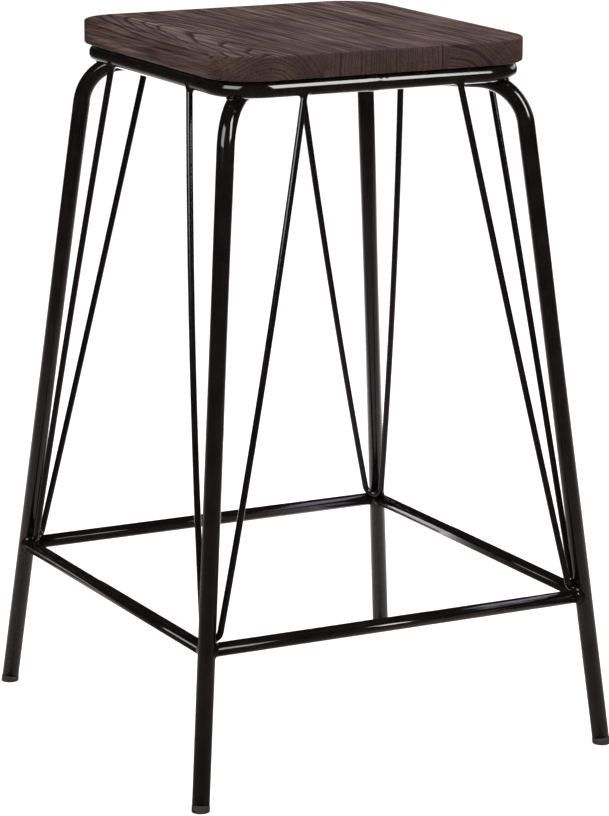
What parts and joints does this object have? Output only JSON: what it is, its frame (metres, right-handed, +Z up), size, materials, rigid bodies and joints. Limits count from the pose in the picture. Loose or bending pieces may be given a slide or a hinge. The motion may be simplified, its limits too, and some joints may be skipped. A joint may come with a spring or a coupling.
{
  "type": "counter-height bar stool",
  "caption": "Tall backless stool with a thin rounded-square stained wood seat on a splayed, gloss black tube frame with V-shaped rod braces and low footrest rails.",
  "frame": {"origin": "on the floor, under the middle of the seat", "axes": "+Z up from the floor to the seat, +X to the sitter's right when facing the front from behind the stool, -Y towards the front of the stool"},
  "size_m": [0.4344, 0.4464, 0.66],
  "materials": {
    "stained_wood": "open-grained wood stained dark brown, satin clear coat",
    "black_enamel": "smooth gloss black stoved enamel on steel",
    "foot_plastic": "moulded black plastic, fine matt surface",
    "zinc_plate": "bright zinc plate",
    "brass": "plain turned brass"
  },
  "bodies": {
    "root": {"seat_stave_left": "stained_wood", "seat_stave_middle": "stained_wood", "seat_stave_right": "stained_wood", "seat_ring": "black_enamel", "leg_front_left": "black_enamel", "leg_front_right": "black_enamel", "leg_back_left": "black_enamel", "leg_back_right": "black_enamel", "rail_front": "black_enamel", "rail_back": "black_enamel", "rail_left": "black_enamel", "rail_right": "black_enamel", "brace_front_left": "black_enamel", "brace_front_right": "black_enamel", "brace_back_left": "black_enamel", "brace_back_right": "black_enamel", "foot_front_left": "foot_plastic", "foot_front_right": "foot_plastic", "foot_back_left": "foot_plastic", "foot_back_right": "foot_plastic", "seat_tab_front": "black_enamel", "seat_tab_back": "black_enamel", "seat_tab_left": "black_enamel", "seat_tab_right": "black_enamel", "seat_screw_front": "zinc_plate", "seat_screw_back": "zinc_plate", "seat_screw_left": "zinc_plate", "seat_screw_right": "zinc_plate", "seat_washer_front": "zinc_plate", "seat_washer_back": "zinc_plate", "seat_washer_left": "zinc_plate", "seat_washer_right": "zinc_plate", "seat_insert_front": "brass", "seat_insert_back": "brass", "seat_insert_left": "brass", "seat_insert_right": "brass"}
  },
  "joints": []
}
